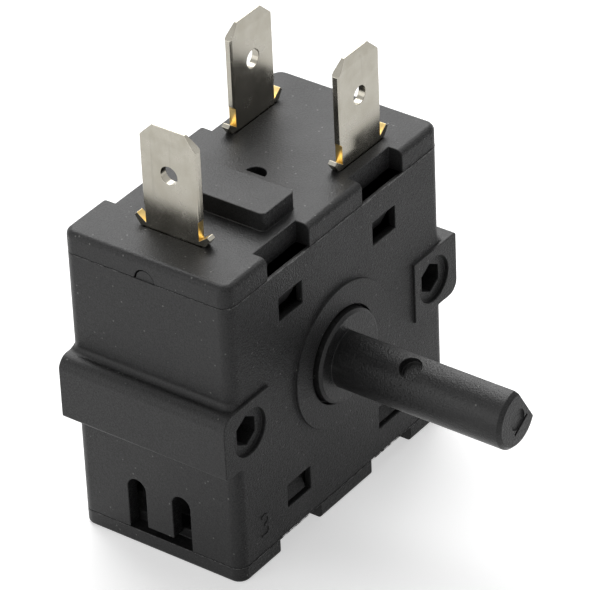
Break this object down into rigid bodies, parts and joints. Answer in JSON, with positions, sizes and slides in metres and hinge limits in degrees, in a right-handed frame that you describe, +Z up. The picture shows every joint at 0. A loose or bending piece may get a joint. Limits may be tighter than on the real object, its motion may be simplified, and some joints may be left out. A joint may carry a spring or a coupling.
{
  "type": "rotary switch",
  "caption": "Panel-mounted rotary cam switch: black moulded case with side ears, a D-shaped shaft at the front and push-on tabs on top.",
  "frame": {"origin": "on the shaft's axis in the mounting plane, midway between the two fixing holes", "axes": "+X to the right seen from the front, +Y back through the case, +Z up along the tabs; the shaft points along -Y"},
  "size_m": [0.0364, 0.0376, 0.0433],
  "materials": {
    "case_plastic": "black moulded plastic with a fine spark-eroded grain",
    "shaft_plastic": "black moulded plastic",
    "plated_steel": "zinc plated, punched",
    "nickel_plated_brass": "nickel plated, bare brass at the sheared edges",
    "spring_bronze": "rolled spring strip",
    "contact_silver": "satin silver alloy",
    "rivet_brass": "satin",
    "pusher_plastic": "natural moulded plastic",
    "spring_steel": "rolled strip"
  },
  "bodies": {
    "case": {"main_body": "case_plastic", "top_cover": "case_plastic", "bottom_cover": "case_plastic", "retaining_fork": "plated_steel", "common_terminal": "nickel_plated_brass", "front_terminal": "nickel_plated_brass", "rear_terminal": "nickel_plated_brass", "front_contact_blade": "spring_bronze", "rear_contact_blade": "spring_bronze", "front_moving_contact": "contact_silver", "rear_moving_contact": "contact_silver", "front_fixed_contact": "contact_silver", "rear_fixed_contact": "contact_silver", "blade_rivets": "rivet_brass", "detent_spring": "spring_steel"},
    "shaft": {"camshaft": "shaft_plastic"},
    "front_plunger": {"front_pusher": "pusher_plastic"},
    "rear_plunger": {"rear_pusher": "pusher_plastic"}
  },
  "joints": [
    {"name": "shaft_turn", "type": "hinge", "parent": "case", "child": "shaft", "pos_m": [0, 0, 0], "axis": [0, 1, 0], "range_deg": [0, 90], "deforming": ["detent_spring"]},
    {"name": "front_pusher_lift", "type": "slide", "parent": "case", "child": "front_plunger", "axis": [0, 0, 1], "range_m": [0, 0.00135], "deforming": ["front_contact_blade"]},
    {"name": "rear_pusher_lift", "type": "slide", "parent": "case", "child": "rear_plunger", "axis": [0, 0, 1], "range_m": [0, 0.00135], "deforming": ["rear_contact_blade"]}
  ],
  "couplings": [
    {"joint": "front_pusher_lift", "follows": "shaft_turn", "m_per_rad": 0.00085944},
    {"joint": "rear_pusher_lift", "follows": "shaft_turn", "m_per_rad": 0.00085944}
  ]
}
